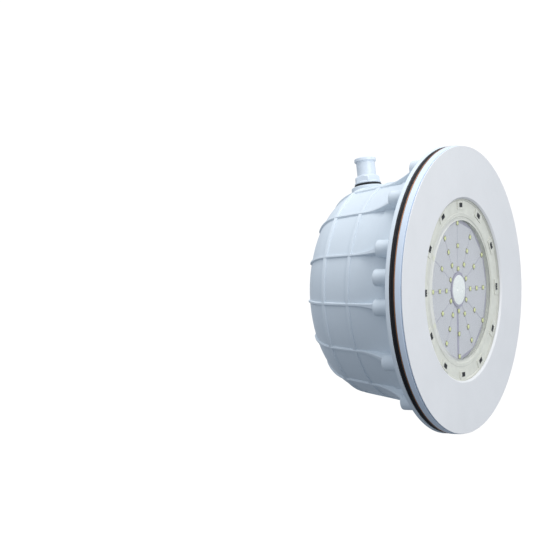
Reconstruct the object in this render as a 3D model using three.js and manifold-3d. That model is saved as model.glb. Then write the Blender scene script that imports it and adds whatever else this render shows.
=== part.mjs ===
// Underwater pool light in its wall niche: a ribbed plastic housing with a gasketed clamp flange, a
// conduit spigot on top, and a light unit (faceplate and sealed LED lamp) that pulls out of the front.
// Units are millimetres. +Z is up and +Y points into the pool wall; the light shines along -Y.
// The origin is on the lamp axis, in the plane of the housing flange's rear face.
import * as THREE from "three";
import { mergeVertices } from "three/addons/utils/BufferGeometryUtils.js";
import Module from "manifold-3d";

const wasm = await Module();
wasm.setup();

// ---------------------------------------------------------------- driving dimensions
const SEAT_GAP = 0.15; // between flat faces that bear on each other
const FIT_GAP = 0.3; // around a piece, in the hole or seat that takes it
const EMBED = 1; // how far joined features sink into each other

const FACEPLATE_RADIUS = 140;
const FACEPLATE_DEPTH = 7.6; // front face to the skirt's rear edge
const FACEPLATE_SKIN = 2.4;
const FACEPLATE_SKIRT = 2.8;
const FACEPLATE_EDGE_RADIUS = 1;
const WINDOW_BEVEL = [1.6, 1.6]; // across and deep
const SLEEVE_WALL = 4; // ring behind the faceplate that locates the lamp

const CLAMP_RING_THICKNESS = 0.8;
const GASKET_THICKNESS = 2.45;
const FLANGE_THICKNESS = 4;
const EDGE_STEPS = [0, 0.8, 0.4]; // how far clamp ring, gaskets and flange sit inside the faceplate's edge
const SEAL_OVERLAP = 1; // rings' bore inside the housing's outer radius

const HOUSING_DEPTH = 113; // flange rear face to back face
const HOUSING_WALL = 3;
const HOUSING_DRAFT = THREE.MathUtils.degToRad(10);
const SHOULDER_RADIUS = 40;
const SHOULDER_TILT = THREE.MathUtils.degToRad(60); // where the rounded corner meets the back cone
const BACK_CONE_DEPTH = 4; // from the rounded corner's end to the back face
const COLLAR_STEP = 1.5; // thicker band of wall next to the flange
const COLLAR_END = 28;
const RING_RIBS = [0.501, 0.751]; // positions, as fractions of the housing's depth
const RIB_HEIGHT = 1.7;
const RIB_WIDTH = 3;
const GUSSET_END = 50; // where each long rib starts to rise towards its boss

const CLAMP_SCREWS = 14;
const BOSS_INSET = 16; // from the faceplate's edge in to the bosses' circle
const BOSS_RADIUS = 8.4;
const BOSS_LENGTH = 18;
const BOSS_CLEARANCE = 0.5; // between the bosses and the housing's wall
const BOSS_END_WALL = 6; // closes the blind holes
const SCREW_RADIUS = 1.9;
const SCREW_END = 9;
const SCREW_HEAD_RADIUS = 4.2;
const SCREW_HEAD_HEIGHT = 2.4;
const SCREW_SLOT = [1, 1.3]; // across and deep
const PIN_RADIUS = 2.8;
const PIN_END = 8;
const PIN_HOLDER_RADIUS = 5;
const PIN_ANGLES = [-Math.PI / 2, Math.PI / 2];

const SPIGOT_SETBACK = 22; // spigot axis to the housing's back face
const PAD_RADIUS = 16.7;
const PAD_HEIGHT = 3.4;
const PAD_DEPTH = 12;
const SPIGOT_BORE = 6.6;
const SPIGOT_STEM_RADIUS = 8.6;
const SPIGOT_STEM_LENGTH = 13;
const SPIGOT_FLANGE = [13.1, 2]; // radius and height of the skirt under the hexagon
const SPIGOT_HEX_FLATS = 23.4;
const SPIGOT_HEX_HEIGHT = 7.4;
const SPIGOT_NECK_RADIUS = 9.5;
const SPIGOT_NECK_LENGTH = 14.8;
const SPIGOT_RIM_RADIUS = 10.8;
const SPIGOT_RIM_HEIGHT = 4.4;
const O_RING_RADIUS = 13.6;
const O_RING_HEIGHT = 2.6;

const LAMP_MARGIN = 20; // between the lamp's rim and the housing's mouth
const LENS_OVERLAP = 3.6; // lens edge hidden behind the faceplate
const LENS_THICKNESS = 2.4;
const LENS_SKIRT = 2.4;
const LENS_CAVITY = 5.2; // behind the lens, to the lamp body's rim
const LENS_TERRACES = 0.5; // height of each concentric step in the lens's front
const LENS_GASKET_THICKNESS = 1.3;
const LENS_GASKET_WIDTH = 5;
const LAMP_RIM_THICKNESS = 3;
const LAMP_WALL = 2.7;
const LAMP_LEDGE = [6, 2]; // width and depth of the step that carries the heat spreader
const LAMP_THROAT_END = 12;
const LAMP_BACK = 47;
const LAMP_BACK_CONE = 0.5; // back radius as a fraction of the rim's
const LAMP_BEVEL = 6;

const BOARD_INSET = 24.6; // from the lamp's edge in to the LED board's
const BOARD_THICKNESS = 1.6;
const BOARD_MARGIN = 2.6; // between the board's edge and the lamp's throat
const LED_SPOKES = 12;
const LED_CIRCLES = [
  [0.305, 0.635, 0.962], // even spokes, as fractions of the board's radius
  [0.41, 0.635, 0.865], // odd spokes
];
const LED_SIZE = 4.6;
const LED_HEIGHT = 1.2;
const CAP_BASE = [0.245, 0.8]; // fraction of the board's radius, and height
const CAP_DOME = 0.212; // fraction of the board's radius; its top carries the lens's middle
const CAP_STEM_RADIUS = 3;
const SPREADER_THICKNESS = 3;

const LAMP_TURN = THREE.MathUtils.degToRad(-7.5); // the lamp about its axis, in the faceplate
const RIM_CLIPS = 12;
const RIM_CLIP_INSET = 9.8; // from the lamp's edge in to the clips' circle
const RIM_CLIP = [6.4, 4]; // along the rim and across it
const RIM_CLIP_GROOVE = [0.8, 1]; // across and deep
const RIM_PAD = [16, 8.6];

const LAMP_CLIPS = 4;
const LAMP_CLIP_REACH = 16.5;
const LAMP_CLIP_HALF_WIDTH = 4.6;
const LAMP_CLIP_THICKNESS = 1.8;
const LAMP_CLIP_TAB = [2, 4]; // thickness and height of the turned-up end
const CLIP_POST_RADIUS = 5;
const CLIP_POST_OFFSET = 11; // outside the lamp's edge
const CLIP_SCREW_RADIUS = 1.6;
const CLIP_SCREW_HEAD = [3.6, 1.8]; // radius and height

const DRIVER_RADIUS = 40;
const DRIVER_FACE = 20; // y of the driver board's front
const DRIVER_POSTS = 3;
const DRIVER_POST_CIRCLE = 31;
const DRIVER_POST_RADIUS = 3.5;
const DRIVER_PEG_RADIUS = 1.5;
const CHOKE_SIZE = [20, 12, 16];
const CAPACITOR_RADIUS = 6.5;
const CAPACITOR_LENGTH = 15;
const LEAD_RADIUS = 0.9;
const LEAD_SPACING = 10;
const LEAD_DROP = 20; // leads' distance below the lamp's axis

const GLAND_THREAD_RADIUS = 8.2;
const GLAND_FLATS = 22;
const GLAND_BORE = 4.5;
const GLAND_STEM = 9; // thread inside the lamp
const GLAND_HEX_HEIGHT = 5;
const GLAND_THREAD_LENGTH = 10;
const GLAND_SEAL_RADIUS = 6.4;
const GLAND_SEAL_LENGTH = 7;
const GLAND_SEAL_PROUD = 1.6;
const GLAND_NUT_END = 2.4;
const GLAND_WASHER = [10, 1.6]; // radius and thickness

const FACE_ROUND = 56; // facets of the faceplate, a multiple of four so that its box is its diameter
const ROUND = 28; // facets of the niche's rings, a multiple of the screw count
const LAMP_ROUND = 24; // a multiple of the rim clip count
const BORE_ROUND = 8;
const SMALL_ROUND = 8;
const TUBE_ROUND = 16;
const WALL_STEPS = [4, 3]; // arc steps of the housing's rounded corner, outside and inside

// ---------------------------------------------------------------- derived sizes
const bossCircle = FACEPLATE_RADIUS - BOSS_INSET;
const housingRadius = bossCircle - BOSS_RADIUS - BOSS_CLEARANCE;
const mouthRadius = housingRadius - HOUSING_WALL;
const sealInner = housingRadius - SEAL_OVERLAP;
const lampRadius = mouthRadius - LAMP_MARGIN;
const windowRadius = lampRadius - LENS_OVERLAP;
const boardRadius = lampRadius - BOARD_INSET;
const rimClipCircle = lampRadius - RIM_CLIP_INSET;
const lampClipCircle = lampRadius + CLIP_POST_OFFSET;
const wallRadius = (y) => housingRadius - Math.tan(HOUSING_DRAFT) * y;

// Planes along the lamp's axis, from the flange forwards.
const flangeFront = -FLANGE_THICKNESS;
const rearGasketFront = flangeFront - SEAT_GAP - GASKET_THICKNESS;
const frontGasketFront = rearGasketFront - SEAT_GAP - GASKET_THICKNESS;
const clampRingFront = frontGasketFront - SEAT_GAP - CLAMP_RING_THICKNESS;
const skirtEnd = clampRingFront - SEAT_GAP;
const faceFront = skirtEnd - FACEPLATE_DEPTH;
const faceRear = faceFront + FACEPLATE_SKIN;

// Planes through the lamp, from the faceplate backwards.
const lensFront = faceRear + SEAT_GAP;
const lensInner = lensFront + LENS_THICKNESS;
const lampRimFront = lensInner + LENS_CAVITY;
const lampRimRear = lampRimFront + LAMP_RIM_THICKNESS;
const lensSkirtEnd = lampRimFront - SEAT_GAP;
const lensGasketFront = lensSkirtEnd - LENS_GASKET_THICKNESS;
const ledge = lampRimFront + LAMP_LEDGE[1];
const spreaderRear = ledge - SEAT_GAP;
const spreaderFront = spreaderRear - SPREADER_THICKNESS;
const boardRear = spreaderFront - SEAT_GAP;
const boardFront = boardRear - BOARD_THICKNESS;
const throatRadius = boardRadius + BOARD_MARGIN; // inner radius of the rim
const lampInner = throatRadius - LAMP_LEDGE[0];
const clipFront = lampRimRear + SEAT_GAP;
const clipRear = clipFront + LAMP_CLIP_THICKNESS;

// ---------------------------------------------------------------- materials
const finish = (color, roughness, metalness = 0, extra = {}) =>
  new THREE.MeshStandardMaterial({ color, roughness, metalness, ...extra });
const materials = {
  whitePlastic: finish(0xdde4ec, 0.35),
  housingPlastic: finish(0xd3dce4, 0.5),
  rubber: finish(0x16171c, 0.7),
  bronze: finish(0xa9713f, 0.4, 0.9),
  steel: finish(0xb9bcbf, 0.3, 0.95),
  darkSteel: finish(0x3a3c3e, 0.4, 0.6),
  clear: finish(0xe6efe8, 0.08, 0, { transparent: true, opacity: 0.35 }),
  silicone: finish(0xd8d8d2, 0.6),
  board: finish(0xc4c6ca, 0.45),
  aluminium: finish(0xc9ccd0, 0.35, 0.9),
  frosted: finish(0xf2f4f4, 0.4),
  circuit: finish(0x2f6b45, 0.5),
  component: finish(0x26282c, 0.5),
  redLead: finish(0xa83228, 0.5),
  blackLead: finish(0x1c1c1e, 0.5),
};

// ---------------------------------------------------------------- shape helpers
// A point at an angle from +Z towards +X.
const polar = (radius, angle, y = 0) =>
  new THREE.Vector3(radius * Math.sin(angle), y, radius * Math.cos(angle));

const turns = (count, start = 0) =>
  Array.from({ length: count }, (_, i) => start + (i * 2 * Math.PI) / count);

function signedArea(outline) {
  return outline.reduce((sum, [x, y], i) => {
    const [nextX, nextY] = outline[(i + 1) % outline.length];
    return sum + (x * nextY - nextX * y) / 2;
  }, 0);
}

// A solid of revolution about Y. The outline holds [radius, y] pairs; it starts and ends on the axis,
// or is a ring's section without the repeated first point.
function revolve(outline, sides) {
  const ordered = signedArea(outline) < 0 ? [...outline].reverse() : outline;
  const points = ordered.map(([r, y]) => new THREE.Vector2(r, y));
  if (ordered.every(([r]) => r > 0)) points.push(points[0].clone());
  return new THREE.LatheGeometry(points, sides);
}

// A ring of rectangular section about Y.
const ring = (inner, outer, from, to, sides) =>
  revolve([[inner, from], [outer, from], [outer, to], [inner, to]], sides);

// An outline in X and Y, given a thickness along Z and centred on it.
function sheet(outline, thickness) {
  const shape = new THREE.Shape(outline.map(([x, y]) => new THREE.Vector2(x, y)));
  const options = { depth: thickness, bevelEnabled: false };
  return new THREE.ExtrudeGeometry(shape, options).translate(0, 0, -thickness / 2);
}

// A cylinder along Y between two planes.
const rod = (radius, from, to, sides = SMALL_ROUND) =>
  new THREE.CylinderGeometry(radius, radius, to - from, sides).translate(0, (from + to) / 2, 0);

// A hexagonal bar along Y, given by its width across flats.
const hexagon = (flats, from, to) => rod(flats / Math.sqrt(3), from, to, 6);

// A box between two planes along Y, sized along X and Z.
const block = (x, z, from, to) =>
  new THREE.BoxGeometry(x, to - from, z).translate(0, (from + to) / 2, 0);

// A copy turned about Y and moved to a point.
const placed = (geometry, point, turn = 0) =>
  geometry.clone().rotateY(turn).translate(point.x, point.y, point.z);

// Copies of a geometry on a circle, each turned with its angle.
const around = (geometry, radius, angles) =>
  angles.map((angle) => placed(geometry, polar(radius, angle), angle));

function solid(geometry) {
  const loose = geometry.index ? geometry.toNonIndexed() : geometry;
  const bare = new THREE.BufferGeometry().setAttribute("position", loose.getAttribute("position"));
  const merged = mergeVertices(bare, 1e-4);
  const vertProperties = merged.getAttribute("position").array;
  const triVerts = new Uint32Array(merged.index.array);
  return new wasm.Manifold(new wasm.Mesh({ numProp: 3, vertProperties, triVerts }));
}

// The first geometry joined with the added ones, less the removed ones.
function shaped(first, added, removed = []) {
  const whole = added.reduce((sum, geometry) => sum.add(solid(geometry)), solid(first));
  const rest = removed.reduce((sum, geometry) => sum.subtract(solid(geometry)), whole);
  const { vertProperties, triVerts } = rest.getMesh();
  const geometry = new THREE.BufferGeometry();
  geometry.setAttribute("position", new THREE.BufferAttribute(vertProperties, 3));
  geometry.setIndex(new THREE.BufferAttribute(triVerts, 1));
  geometry.computeVertexNormals();
  return geometry;
}

function piece(name, geometry, material) {
  const mesh = new THREE.Mesh(geometry, material);
  mesh.name = name;
  return mesh;
}

const numbered = (name, index) => `${name}_${String(index + 1).padStart(2, "0")}`;

// ---------------------------------------------------------------- niche
const screwAngles = turns(CLAMP_SCREWS);

// Holes through the flange stack: one for each clamp screw and one for each faceplate pin.
const stackHoles = (from, to) => [
  ...around(rod(SCREW_RADIUS + FIT_GAP, from, to, BORE_ROUND), bossCircle, screwAngles),
  ...around(rod(PIN_RADIUS + FIT_GAP, from, to, BORE_ROUND), bossCircle, PIN_ANGLES),
];

// The housing's profile from the collar to the back face, moved outwards by an offset.
function wallProfile(offset, fromY, steps) {
  const start = shoulderCentre();
  const radius = SHOULDER_RADIUS + offset;
  const corner = Array.from({ length: steps + 1 }, (_, i) => {
    const tilt = HOUSING_DRAFT + ((SHOULDER_TILT - HOUSING_DRAFT) * i) / steps;
    return [start.r + radius * Math.cos(tilt), start.y + radius * Math.sin(tilt)];
  });
  return [[wallRadius(fromY) + offset, fromY], ...corner];
}

// Centre of the rounded corner, placed so that the cone behind it has its own depth.
function shoulderCentre() {
  const y = HOUSING_DEPTH - BACK_CONE_DEPTH - SHOULDER_RADIUS * Math.sin(SHOULDER_TILT);
  const tangentY = y + SHOULDER_RADIUS * Math.sin(HOUSING_DRAFT);
  return { r: wallRadius(tangentY) - SHOULDER_RADIUS * Math.cos(HOUSING_DRAFT), y };
}

// Where the back cone, moved outwards by an offset, reaches a plane near the back face.
function backEdge(offset, y) {
  const [r, cornerY] = wallProfile(offset, 0, 1).at(-1);
  return [r - (y - cornerY) * Math.tan(SHOULDER_TILT), y];
}

function nicheShell() {
  const [outerSteps, innerSteps] = WALL_STEPS;
  const inner = wallProfile(-HOUSING_WALL, 0, innerSteps);
  const outer = wallProfile(0, COLLAR_END, outerSteps);
  const collar = [
    [wallRadius(0) + COLLAR_STEP, 0],
    [wallRadius(COLLAR_END) + COLLAR_STEP, COLLAR_END],
  ];
  const flangeRadius = FACEPLATE_RADIUS - EDGE_STEPS[2];
  return revolve(
    [
      [0, HOUSING_DEPTH - HOUSING_WALL],
      backEdge(-HOUSING_WALL, HOUSING_DEPTH - HOUSING_WALL),
      ...inner.reverse(),
      [mouthRadius, flangeFront],
      [flangeRadius, flangeFront],
      [flangeRadius, 0],
      ...collar,
      ...outer,
      backEdge(0, HOUSING_DEPTH),
      [0, HOUSING_DEPTH],
    ],
    ROUND,
  );
}

// A rib along the wall whose front end rises as a gusset to brace the boss.
function braceRib() {
  const [steps] = WALL_STEPS;
  const outer = wallProfile(RIB_HEIGHT, GUSSET_END, steps);
  const inner = wallProfile(-EMBED, 0, steps).reverse();
  const flare = [
    [bossCircle, -EMBED],
    [bossCircle, BOSS_LENGTH - EMBED],
  ];
  return sheet([...flare, ...outer, ...inner], RIB_WIDTH).rotateY(-Math.PI / 2);
}

function ringRib(fraction) {
  const from = HOUSING_DEPTH * fraction - RIB_WIDTH / 2;
  const to = from + RIB_WIDTH;
  const section = [
    [wallRadius(from) - EMBED, from],
    [wallRadius(from) + RIB_HEIGHT, from],
    [wallRadius(to) + RIB_HEIGHT, to],
    [wallRadius(to) - EMBED, to],
  ];
  return revolve(section, ROUND);
}

// Turns a piece made along +Y onto the spigot's axis, square to the housing's sloping top.
function onSpigotAxis(geometry) {
  const y = HOUSING_DEPTH - SPIGOT_SETBACK;
  return geometry.rotateX(Math.PI / 2 - HOUSING_DRAFT).translate(0, y, wallRadius(y));
}

function nicheHousing() {
  const boss = rod(BOSS_RADIUS, -EMBED, BOSS_LENGTH);
  const pad = onSpigotAxis(rod(PAD_RADIUS, -PAD_DEPTH, PAD_HEIGHT, TUBE_ROUND));
  const threadBore = rod(SPIGOT_STEM_RADIUS + FIT_GAP, -2 * PAD_DEPTH, 2 * PAD_HEIGHT, TUBE_ROUND);
  const added = [
    ...around(boss, bossCircle, [...screwAngles, ...PIN_ANGLES]),
    ...screwAngles.map((angle) => braceRib().rotateY(angle)),
    ...RING_RIBS.map(ringRib),
    pad,
  ];
  const blindEnd = BOSS_LENGTH - BOSS_END_WALL;
  const removed = [...stackHoles(flangeFront - EMBED, blindEnd), onSpigotAxis(threadBore)];
  return piece("niche_housing", shaped(nicheShell(), added, removed), materials.housingPlastic);
}

function stackRing(name, front, thickness, edgeStep, material) {
  const rear = front + thickness;
  const body = ring(sealInner, FACEPLATE_RADIUS - edgeStep, front, rear, ROUND);
  return piece(name, shaped(body, [], stackHoles(front - 1, rear + 1)), material);
}

function flangeStack() {
  const { rubber, bronze } = materials;
  return [
    stackRing("rear_gasket", rearGasketFront, GASKET_THICKNESS, EDGE_STEPS[1], rubber),
    stackRing("front_gasket", frontGasketFront, GASKET_THICKNESS, EDGE_STEPS[1], rubber),
    stackRing("clamp_ring", clampRingFront, CLAMP_RING_THICKNESS, EDGE_STEPS[0], bronze),
  ];
}

// A slotted pan-head screw along +Y, its head's underside on the plane y = 0.
function screw(radius, length, [headRadius, headHeight]) {
  const crown = headRadius * 0.75;
  const body = revolve(
    [
      [0, -headHeight],
      [crown, -headHeight],
      [headRadius, -headHeight / 2],
      [headRadius, 0],
      [radius, 0],
      [radius, length],
      [0, length],
    ],
    BORE_ROUND,
  );
  const [slotWidth, slotDepth] = SCREW_SLOT;
  const slot = block(slotWidth, 3 * headRadius, -2 * headHeight, slotDepth - headHeight);
  return shaped(body, [], [slot]);
}

function clampScrews() {
  const underHead = clampRingFront - SEAT_GAP;
  const head = [SCREW_HEAD_RADIUS, SCREW_HEAD_HEIGHT];
  const fastener = screw(SCREW_RADIUS, SCREW_END - underHead, head);
  return screwAngles.map((angle, i) => {
    const geometry = placed(fastener, polar(bossCircle, angle, underHead), angle);
    return piece(numbered("clamp_screw", i), geometry, materials.steel);
  });
}

// ---------------------------------------------------------------- conduit spigot
function conduitSpigot() {
  const seat = PAD_HEIGHT + O_RING_HEIGHT + 2 * SEAT_GAP;
  const hexTop = seat + SPIGOT_HEX_HEIGHT;
  const neckTop = hexTop + SPIGOT_NECK_LENGTH;
  const top = neckTop + SPIGOT_RIM_HEIGHT;
  const stemEnd = PAD_HEIGHT - SPIGOT_STEM_LENGTH;
  const [flangeRadius, flangeHeight] = SPIGOT_FLANGE;
  const tube = revolve(
    [
      [SPIGOT_BORE, stemEnd],
      [SPIGOT_STEM_RADIUS, stemEnd],
      [SPIGOT_STEM_RADIUS, seat],
      [flangeRadius, seat],
      [flangeRadius, seat + flangeHeight / 2],
      [flangeRadius - flangeHeight / 2, seat + flangeHeight],
      [SPIGOT_NECK_RADIUS, hexTop],
      [SPIGOT_NECK_RADIUS, neckTop],
      [SPIGOT_RIM_RADIUS, neckTop + 1],
      [SPIGOT_RIM_RADIUS, top - 1],
      [SPIGOT_NECK_RADIUS, top],
      [SPIGOT_BORE, top],
    ],
    TUBE_ROUND,
  );
  const hex = hexagon(SPIGOT_HEX_FLATS, seat + flangeHeight / 2, hexTop);
  const bore = rod(SPIGOT_BORE, stemEnd - 1, top + 1, TUBE_ROUND);
  const spigot = onSpigotAxis(shaped(tube, [hex], [bore]));
  return piece("conduit_spigot", spigot, materials.whitePlastic);
}

function spigotORing() {
  const inner = SPIGOT_STEM_RADIUS + FIT_GAP;
  const bottom = PAD_HEIGHT + SEAT_GAP;
  const top = bottom + O_RING_HEIGHT;
  const corner = 0.7;
  const section = [
    [inner, bottom],
    [O_RING_RADIUS - corner, bottom],
    [O_RING_RADIUS, bottom + corner],
    [O_RING_RADIUS, top - corner],
    [O_RING_RADIUS - corner, top],
    [inner, top],
  ];
  return piece("spigot_o_ring", onSpigotAxis(revolve(section, TUBE_ROUND)), materials.rubber);
}

// ---------------------------------------------------------------- faceplate
function faceplate() {
  const corner = FACEPLATE_EDGE_RADIUS;
  const edge = [0, 1, 2, 3].map((i) => {
    const angle = (i * Math.PI) / 6;
    const r = FACEPLATE_RADIUS - corner + corner * Math.sin(angle);
    return [r, faceFront + corner - corner * Math.cos(angle)];
  });
  const skirtInner = FACEPLATE_RADIUS - FACEPLATE_SKIRT;
  const sleeveInner = lampRadius + FIT_GAP;
  const sleeveOuter = sleeveInner + SLEEVE_WALL;
  const [bevelWidth, bevelDepth] = WINDOW_BEVEL;
  const body = revolve(
    [
      [windowRadius, faceFront + bevelDepth],
      [windowRadius + bevelWidth, faceFront],
      ...edge,
      [FACEPLATE_RADIUS, skirtEnd],
      [skirtInner, skirtEnd],
      [skirtInner, faceRear],
      [sleeveOuter, faceRear],
      [sleeveOuter, lampRimRear],
      [sleeveInner, lampRimRear],
      [sleeveInner, faceRear],
      [windowRadius, faceRear],
    ],
    FACE_ROUND,
  );
  const post = rod(CLIP_POST_RADIUS, faceRear - EMBED, lampRimRear);
  const holder = rod(PIN_HOLDER_RADIUS, faceRear - EMBED, skirtEnd);
  const added = [
    ...around(post, lampClipCircle, lampClipAngles),
    ...around(holder, bossCircle, PIN_ANGLES),
  ];
  const screwHole = rod(CLIP_SCREW_RADIUS + FIT_GAP, faceRear + 1, lampRimRear + 1, BORE_ROUND);
  const pinHole = rod(PIN_RADIUS + FIT_GAP, faceRear, skirtEnd + 1, BORE_ROUND);
  const removed = [
    ...around(screwHole, lampClipCircle, lampClipAngles),
    ...around(pinHole, bossCircle, PIN_ANGLES),
  ];
  return piece("faceplate", shaped(body, added, removed), materials.whitePlastic);
}

// Split push-in pins that hold the faceplate in the two plain bosses of the niche.
function faceplatePins() {
  const tip = 1.2;
  const body = revolve(
    [
      [0, faceRear + SEAT_GAP],
      [PIN_RADIUS, faceRear + SEAT_GAP],
      [PIN_RADIUS, PIN_END - tip],
      [PIN_RADIUS - tip, PIN_END],
      [0, PIN_END],
    ],
    BORE_ROUND,
  );
  const split = block(0.9, 3 * PIN_RADIUS, 0, 2 * PIN_END);
  const pin = shaped(body, [], [split]);
  return ["left", "right"].map((side, i) => {
    const geometry = placed(pin, polar(bossCircle, PIN_ANGLES[i]), PIN_ANGLES[i]);
    return piece(`faceplate_pin_${side}`, geometry, materials.silicone);
  });
}

// ---------------------------------------------------------------- lamp retaining clips
const lampClipAngles = turns(LAMP_CLIPS, Math.PI / LAMP_CLIPS);

// A swing clip, its pivot at the origin and its arm along -Z, over the lamp's rim.
function swingClip() {
  const half = LAMP_CLIP_HALF_WIDTH;
  const arm = LAMP_CLIP_REACH;
  const heel = Array.from({ length: 7 }, (_, i) => {
    const angle = Math.PI / 2 + (i * Math.PI) / 6;
    return [half * Math.cos(angle), half * Math.sin(angle)];
  });
  const outline = [...heel, [arm, -half * 0.7], [arm, half * 0.7]];
  const flat = sheet(outline, LAMP_CLIP_THICKNESS)
    .rotateX(Math.PI / 2)
    .translate(0, (clipFront + clipRear) / 2, 0)
    .rotateY(Math.PI / 2);
  const [tabThickness, tabHeight] = LAMP_CLIP_TAB;
  const tab = block(2 * half * 0.7, tabThickness, clipFront, clipRear + tabHeight);
  tab.translate(0, 0, tabThickness / 2 - arm);
  const hole = rod(CLIP_SCREW_RADIUS + FIT_GAP, clipFront - 1, clipRear + 1, BORE_ROUND);
  return shaped(flat, [tab], [hole]);
}

function lampClips() {
  const clip = swingClip();
  const shank = clipRear + SEAT_GAP - (faceRear + 1 + SEAT_GAP);
  const pivot = screw(CLIP_SCREW_RADIUS, shank, CLIP_SCREW_HEAD)
    .rotateX(Math.PI)
    .translate(0, clipRear + SEAT_GAP, 0);
  return lampClipAngles.flatMap((angle, i) => {
    const centre = polar(lampClipCircle, angle);
    return [
      piece(`lamp_clip_${i + 1}`, placed(clip, centre, angle), materials.steel),
      piece(`clip_screw_${i + 1}`, placed(pivot, centre, angle), materials.steel),
    ];
  });
}

// ---------------------------------------------------------------- lamp
const lampAxis = new THREE.Vector3(0, 1, 0);
const rimClipAngles = turns(RIM_CLIPS, LAMP_TURN);

function lampLens() {
  const sealOuter = throatRadius + LENS_GASKET_WIDTH;
  const sealEnd = lensGasketFront - SEAT_GAP;
  const step = LENS_TERRACES;
  const skirtInner = lampRadius - LENS_SKIRT;
  const body = revolve(
    [
      [0, lensFront + step],
      [throatRadius - 2, lensFront + step],
      [throatRadius, lensFront + 2 * step],
      [sealOuter, lensFront + 2 * step],
      [sealOuter + 1, lensFront + step],
      [windowRadius - 2, lensFront + step],
      [windowRadius - 1, lensFront],
      [lampRadius, lensFront],
      [lampRadius, lensSkirtEnd],
      [skirtInner, lensSkirtEnd],
      [skirtInner, lensInner],
      [sealOuter, lensInner],
      [sealOuter, sealEnd],
      [throatRadius + FIT_GAP, sealEnd],
      [throatRadius + FIT_GAP, lensInner],
      [0, lensInner],
    ],
    LAMP_ROUND,
  );
  const [padLength, padWidth] = RIM_PAD;
  const pad = block(padLength, padWidth, lensFront, lensInner - 1);
  const [clipLength, clipWidth] = RIM_CLIP.map((size) => size + 2 * FIT_GAP);
  const slot = block(clipLength, clipWidth, lensFront - 1, lensInner + 1);
  const added = around(pad, rimClipCircle, rimClipAngles);
  const removed = around(slot, rimClipCircle, rimClipAngles);
  return piece("lamp_lens", shaped(body, added, removed), materials.clear);
}

function lensGasket() {
  const inner = throatRadius + FIT_GAP;
  const outer = throatRadius + LENS_GASKET_WIDTH;
  const body = ring(inner, outer, lensGasketFront, lensSkirtEnd, LAMP_ROUND);
  return piece("lens_gasket", body, materials.silicone);
}

// Ridged spring clips pushed through the lens's rim into slots in the lamp body's rim.
function rimClips() {
  const [length, width] = RIM_CLIP;
  const [grooveWidth, grooveDepth] = RIM_CLIP_GROOVE;
  const bar = block(length, width, lensFront, lampRimRear);
  const groove = block(grooveWidth, 2 * width, lensFront - 1, lensFront + grooveDepth);
  const grooves = [-1, 1].map((side) => groove.clone().translate((side * length) / 6, 0, 0));
  const clip = shaped(bar, [], grooves);
  return rimClipAngles.map((angle, i) => {
    const geometry = placed(clip, polar(rimClipCircle, angle), angle);
    return piece(numbered("rim_clip", i), geometry, materials.darkSteel);
  });
}

function lampBody() {
  const back = lampRadius * LAMP_BACK_CONE;
  const outerThroat = lampInner + LAMP_WALL;
  const inside = LAMP_BACK - LAMP_WALL;
  const body = revolve(
    [
      [0, inside],
      [back - LAMP_BEVEL - LAMP_WALL / 2, inside],
      [back - LAMP_WALL, LAMP_BACK - LAMP_BEVEL],
      [lampInner, LAMP_THROAT_END],
      [lampInner, ledge],
      [throatRadius, ledge],
      [throatRadius, lampRimFront],
      [lampRadius, lampRimFront],
      [lampRadius, lampRimRear],
      [outerThroat + 2, lampRimRear],
      [outerThroat, lampRimRear + 2],
      [outerThroat, LAMP_THROAT_END],
      [back, LAMP_BACK - LAMP_BEVEL],
      [back - LAMP_BEVEL, LAMP_BACK],
      [0, LAMP_BACK],
    ],
    LAMP_ROUND,
  );
  const glandHole = rod(GLAND_THREAD_RADIUS + FIT_GAP, inside - 1, LAMP_BACK + 1, TUBE_ROUND);
  const [clipLength, clipWidth] = RIM_CLIP.map((size) => size + 2 * FIT_GAP);
  const slot = block(clipLength, clipWidth, lampRimFront - 1, lampRimRear + 1);
  const removed = [glandHole, ...around(slot, rimClipCircle, rimClipAngles)];
  return piece("lamp_body", shaped(body, [], removed), materials.whitePlastic);
}

// Where the two leads cross from the driver board to the LED board.
const leadPoints = [-1, 1].map((side) =>
  new THREE.Vector3((side * LEAD_SPACING) / 2, 0, -LEAD_DROP).applyAxisAngle(lampAxis, LAMP_TURN),
);

function ledBoard() {
  const disc = rod(boardRadius, boardFront, boardRear, LAMP_ROUND);
  const led = block(LED_SIZE, LED_SIZE, boardFront - LED_HEIGHT, boardFront + BOARD_THICKNESS / 2);
  const leds = turns(LED_SPOKES, LAMP_TURN).flatMap((angle, spoke) =>
    LED_CIRCLES[spoke % 2].flatMap((share) => around(led, share * boardRadius, [angle])),
  );
  const hole = rod(CAP_STEM_RADIUS + FIT_GAP, boardFront - 1, boardRear + 1, BORE_ROUND);
  const leadHole = rod(LEAD_RADIUS + FIT_GAP, boardFront - 1, boardRear + 1, BORE_ROUND);
  const removed = [hole, ...leadPoints.map((point) => placed(leadHole, point))];
  return piece("led_board", shaped(disc, leds, removed), materials.board);
}

function centreCap() {
  const seat = boardFront - SEAT_GAP;
  const [baseShare, baseHeight] = CAP_BASE;
  const base = baseShare * boardRadius;
  const dome = CAP_DOME * boardRadius;
  const baseFront = seat - baseHeight;
  const domeHeight = baseFront - lensInner - SEAT_GAP;
  const body = revolve(
    [
      [0, baseFront - domeHeight],
      [dome * 0.6, baseFront - domeHeight * 0.8],
      [dome, baseFront - domeHeight * 0.3],
      [dome, baseFront],
      [base, baseFront],
      [base, seat],
      [CAP_STEM_RADIUS, seat],
      [CAP_STEM_RADIUS, spreaderRear],
      [0, spreaderRear],
    ],
    TUBE_ROUND,
  );
  return piece("centre_cap", body, materials.frosted);
}

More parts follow.
